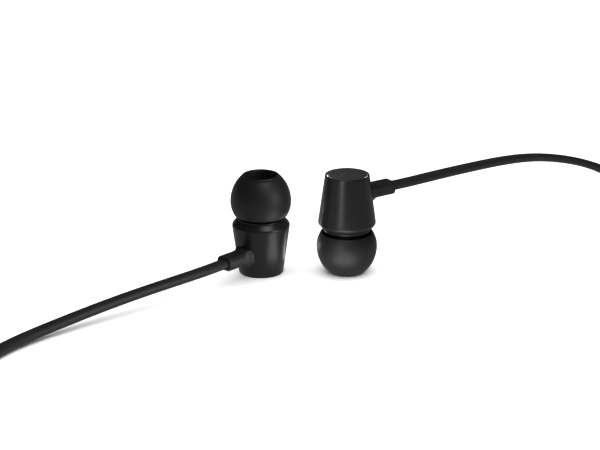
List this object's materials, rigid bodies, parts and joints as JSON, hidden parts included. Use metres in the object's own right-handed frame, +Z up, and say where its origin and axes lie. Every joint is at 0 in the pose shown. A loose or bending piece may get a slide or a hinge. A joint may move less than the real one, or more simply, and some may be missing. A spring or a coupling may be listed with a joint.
{
  "type": "wired earphones",
  "caption": "Wired in-ear earphones: two tapered metal buds with soft ear tips, a flat Y cord with a splitter and a tied coil, and a straight stereo jack.",
  "frame": {"origin": "on the surface that the buds stand on, midway between the two buds' axes", "axes": "+Z up along both buds' axes, +X from the left bud to the right bud, -Y towards the coiled cord and the plug"},
  "size_m": [0.138, 0.1943, 0.0206],
  "materials": {
    "housing_metal": "satin black anodised, turned and bead blasted",
    "cap_metal": "spun disc, fine rings, black anodised",
    "mesh_steel": "woven wire, satin",
    "damper_foam": "open foam, matt",
    "driver_steel": "plated, satin",
    "magnet_plate": "nickel plated",
    "copper": "enamelled copper wire",
    "diaphragm_film": "thin film, slight sheen",
    "board": "green solder mask",
    "core_jacket": "matt",
    "relief_rubber": "moulded, satin black",
    "silicone": "soft silicone, satin black",
    "cord_jacket": "smooth soft jacket, satin black",
    "tie_strap": "soft strap, matt black",
    "jack_gold": "gold plated, polished",
    "insulator": "black, glossy"
  },
  "bodies": {
    "buds_and_cord": {"housing_left": "housing_metal", "end_cap_left": "cap_metal", "front_cover_left": "housing_metal", "nozzle_mesh_left": "mesh_steel", "damper_left": "damper_foam", "driver_basket_left": "driver_steel", "magnet_pot_left": "driver_steel", "magnet_left": "magnet_plate", "pole_plate_left": "driver_steel", "voice_coil_left": "copper", "diaphragm_left": "diaphragm_film", "driver_ring_left": "driver_steel", "terminal_board_left": "board", "lead_wires_left": "copper", "cord_core_left": "core_jacket", "strain_relief_left": "relief_rubber", "housing_right": "housing_metal", "end_cap_right": "cap_metal", "front_cover_right": "housing_metal", "nozzle_mesh_right": "mesh_steel", "damper_right": "damper_foam", "driver_basket_right": "driver_steel", "magnet_pot_right": "driver_steel", "magnet_right": "magnet_plate", "pole_plate_right": "driver_steel", "voice_coil_right": "copper", "diaphragm_right": "diaphragm_film", "driver_ring_right": "driver_steel", "terminal_board_right": "board", "lead_wires_right": "copper", "cord_core_right": "core_jacket", "strain_relief_right": "relief_rubber", "cord_left": "cord_jacket", "cord_right": "cord_jacket", "splitter_shell": "housing_metal", "splitter_collars": "relief_rubber", "trunk_lead": "cord_jacket", "trunk_coil": "cord_jacket", "trunk_tail": "cord_jacket", "coil_ties": "tie_strap", "plug_relief": "relief_rubber", "plug_grip": "housing_metal", "jack_sleeve": "jack_gold", "jack_ring": "jack_gold", "jack_insulators": "insulator", "jack_tip": "jack_gold"},
    "left_tip": {"ear_tip_left": "silicone"},
    "right_tip": {"ear_tip_right": "silicone"}
  },
  "joints": [
    {"name": "left_tip_pull", "type": "slide", "parent": "buds_and_cord", "child": "left_tip", "axis": [0, 0, 1], "range_m": [0, 0.008]},
    {"name": "right_tip_pull", "type": "slide", "parent": "buds_and_cord", "child": "right_tip", "axis": [0, 0, -1], "range_m": [0, 0.008]}
  ]
}
